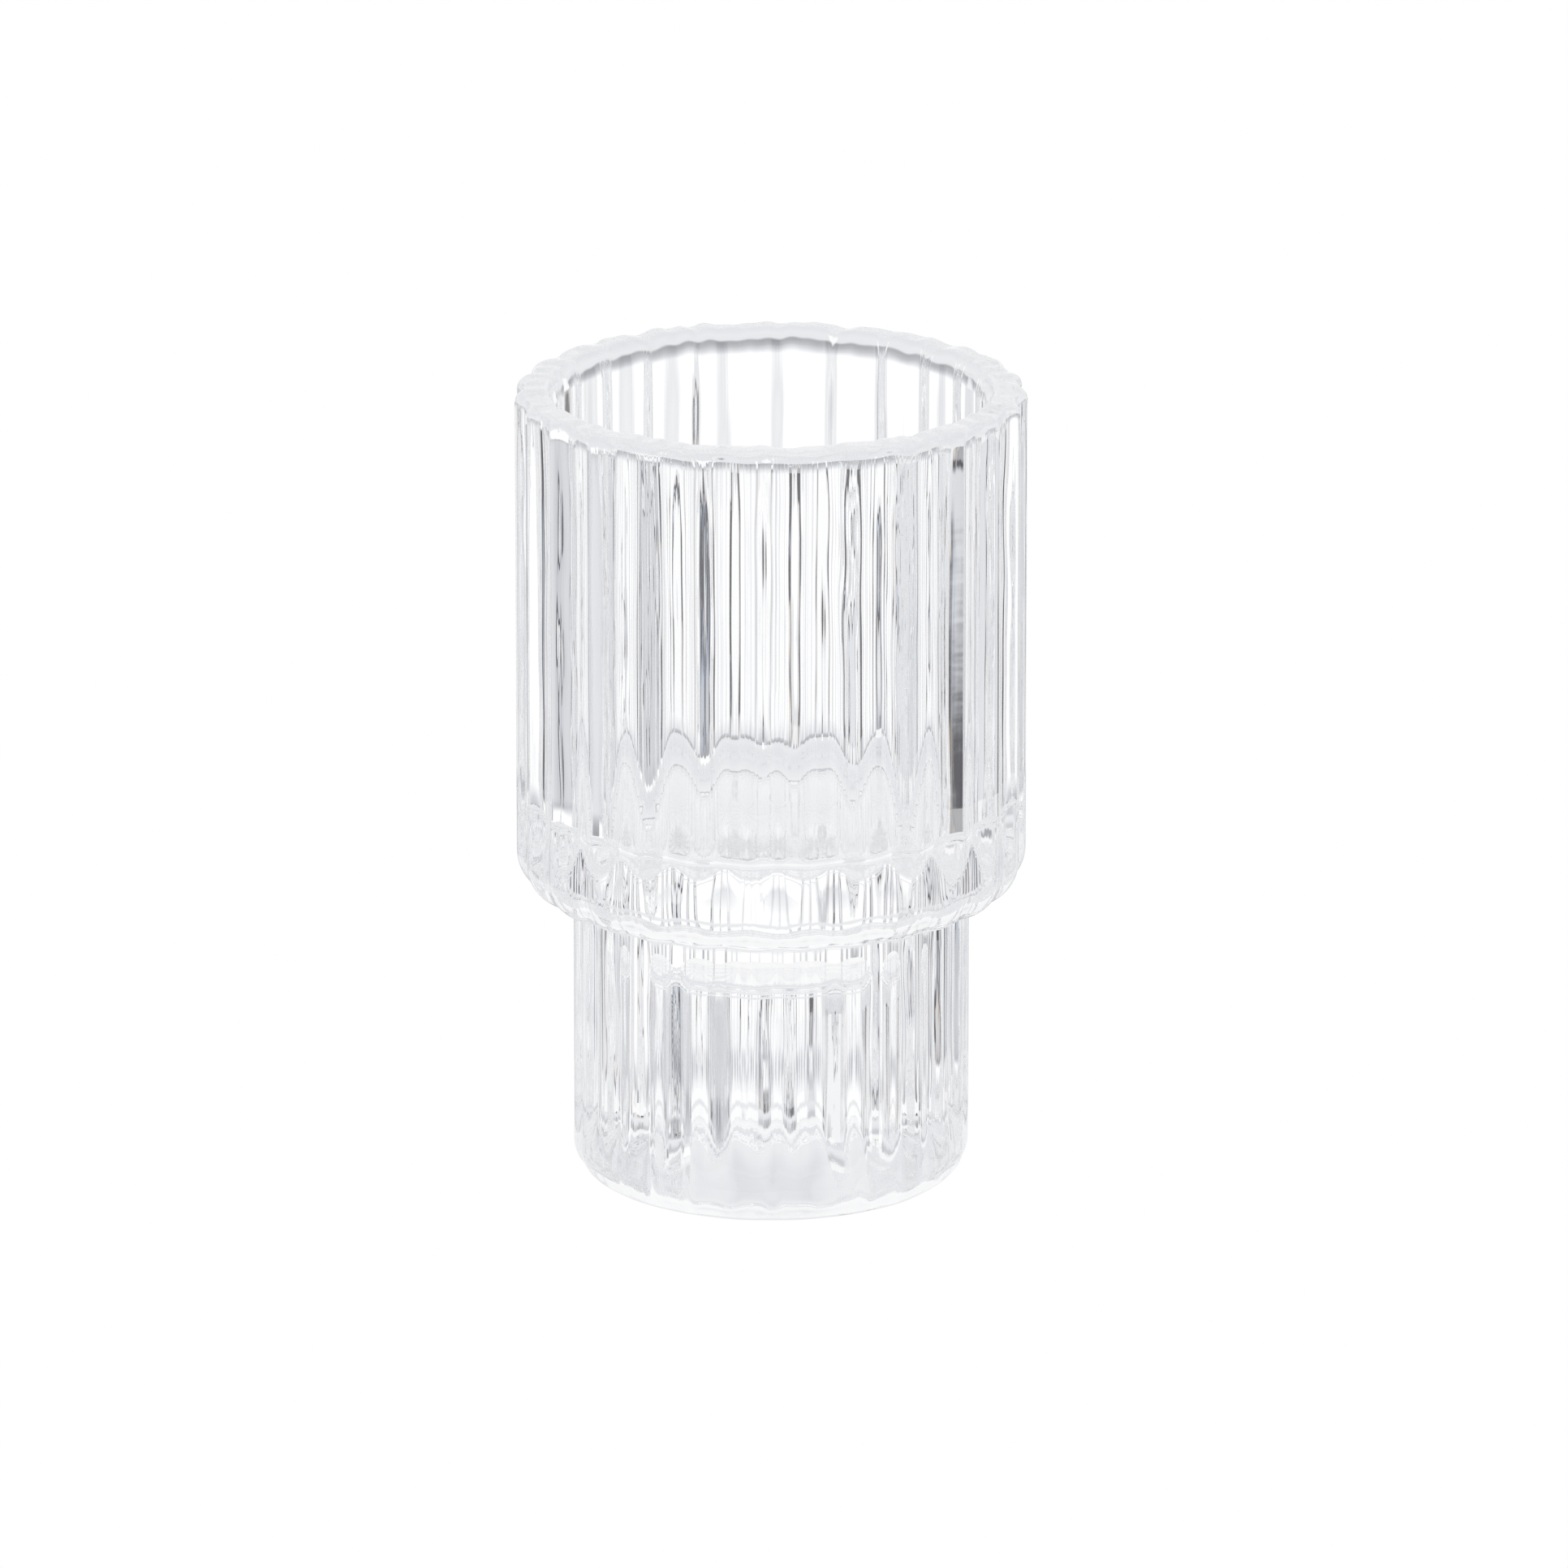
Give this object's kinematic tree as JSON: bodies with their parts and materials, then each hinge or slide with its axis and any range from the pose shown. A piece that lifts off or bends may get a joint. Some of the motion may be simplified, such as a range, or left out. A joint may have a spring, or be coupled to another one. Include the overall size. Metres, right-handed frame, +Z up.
{
  "type": "tealight holder",
  "caption": "Ribbed clear-glass candle holder: a tealight cup on a narrower foot whose underside has a socket for a dinner candle.",
  "frame": {"origin": "centre of the underside of the foot, on the axis of the cup and the socket", "axes": "+Z up along the axis, from the foot to the rim of the cup; -Y is the side the picture looks at; the nearest rib crest stands 4.8 degrees to its left"},
  "size_m": [0.0599, 0.0599, 0.096],
  "materials": {
    "clear_glass": "clear, fire-polished"
  },
  "bodies": {
    "root": {"tealight_cup": "clear_glass", "waist": "clear_glass", "candle_foot": "clear_glass"}
  },
  "joints": []
}
